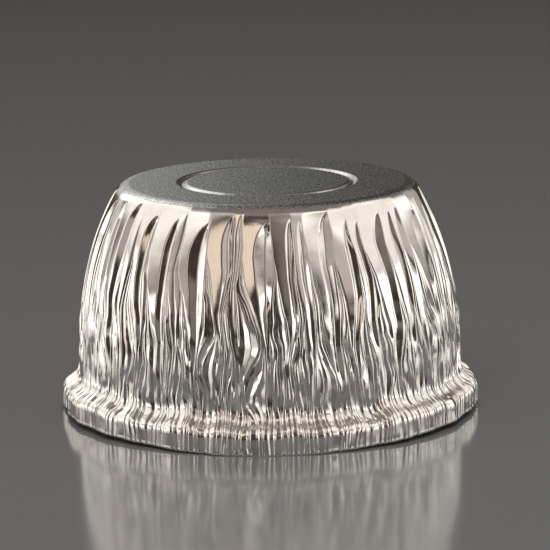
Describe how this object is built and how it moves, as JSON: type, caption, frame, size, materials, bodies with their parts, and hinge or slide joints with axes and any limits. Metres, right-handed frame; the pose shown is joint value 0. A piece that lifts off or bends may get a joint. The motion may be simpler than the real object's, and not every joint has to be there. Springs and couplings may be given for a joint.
{
  "type": "foil pudding basin",
  "caption": "Pressed aluminium-foil pudding basin upside down on its rim: flat base with a pressed ring, rounded heel, bulging pleated wall, sloping ledge and upright hemmed collar.",
  "frame": {"origin": "on the basin's axis, in the plane that the rim's edge stands on", "axes": "+Z along the axis, from the rim's edge up to the base, with the basin upside down; -Y towards the viewer of the picture, +X to the viewer's right"},
  "size_m": [0.125, 0.125, 0.0685],
  "materials": {
    "satin_foil": "satin rolled foil on the base, up to its rounded edge",
    "bright_foil": "bright creased foil"
  },
  "bodies": {
    "root": {"centre_panel": "satin_foil", "pressed_ring": "satin_foil", "base_border": "satin_foil", "heel_band": "bright_foil", "upper_wall": "bright_foil", "lower_wall": "bright_foil", "rim_shoulder": "bright_foil", "rim_collar": "bright_foil", "folded_hem": "bright_foil"}
  },
  "joints": []
}
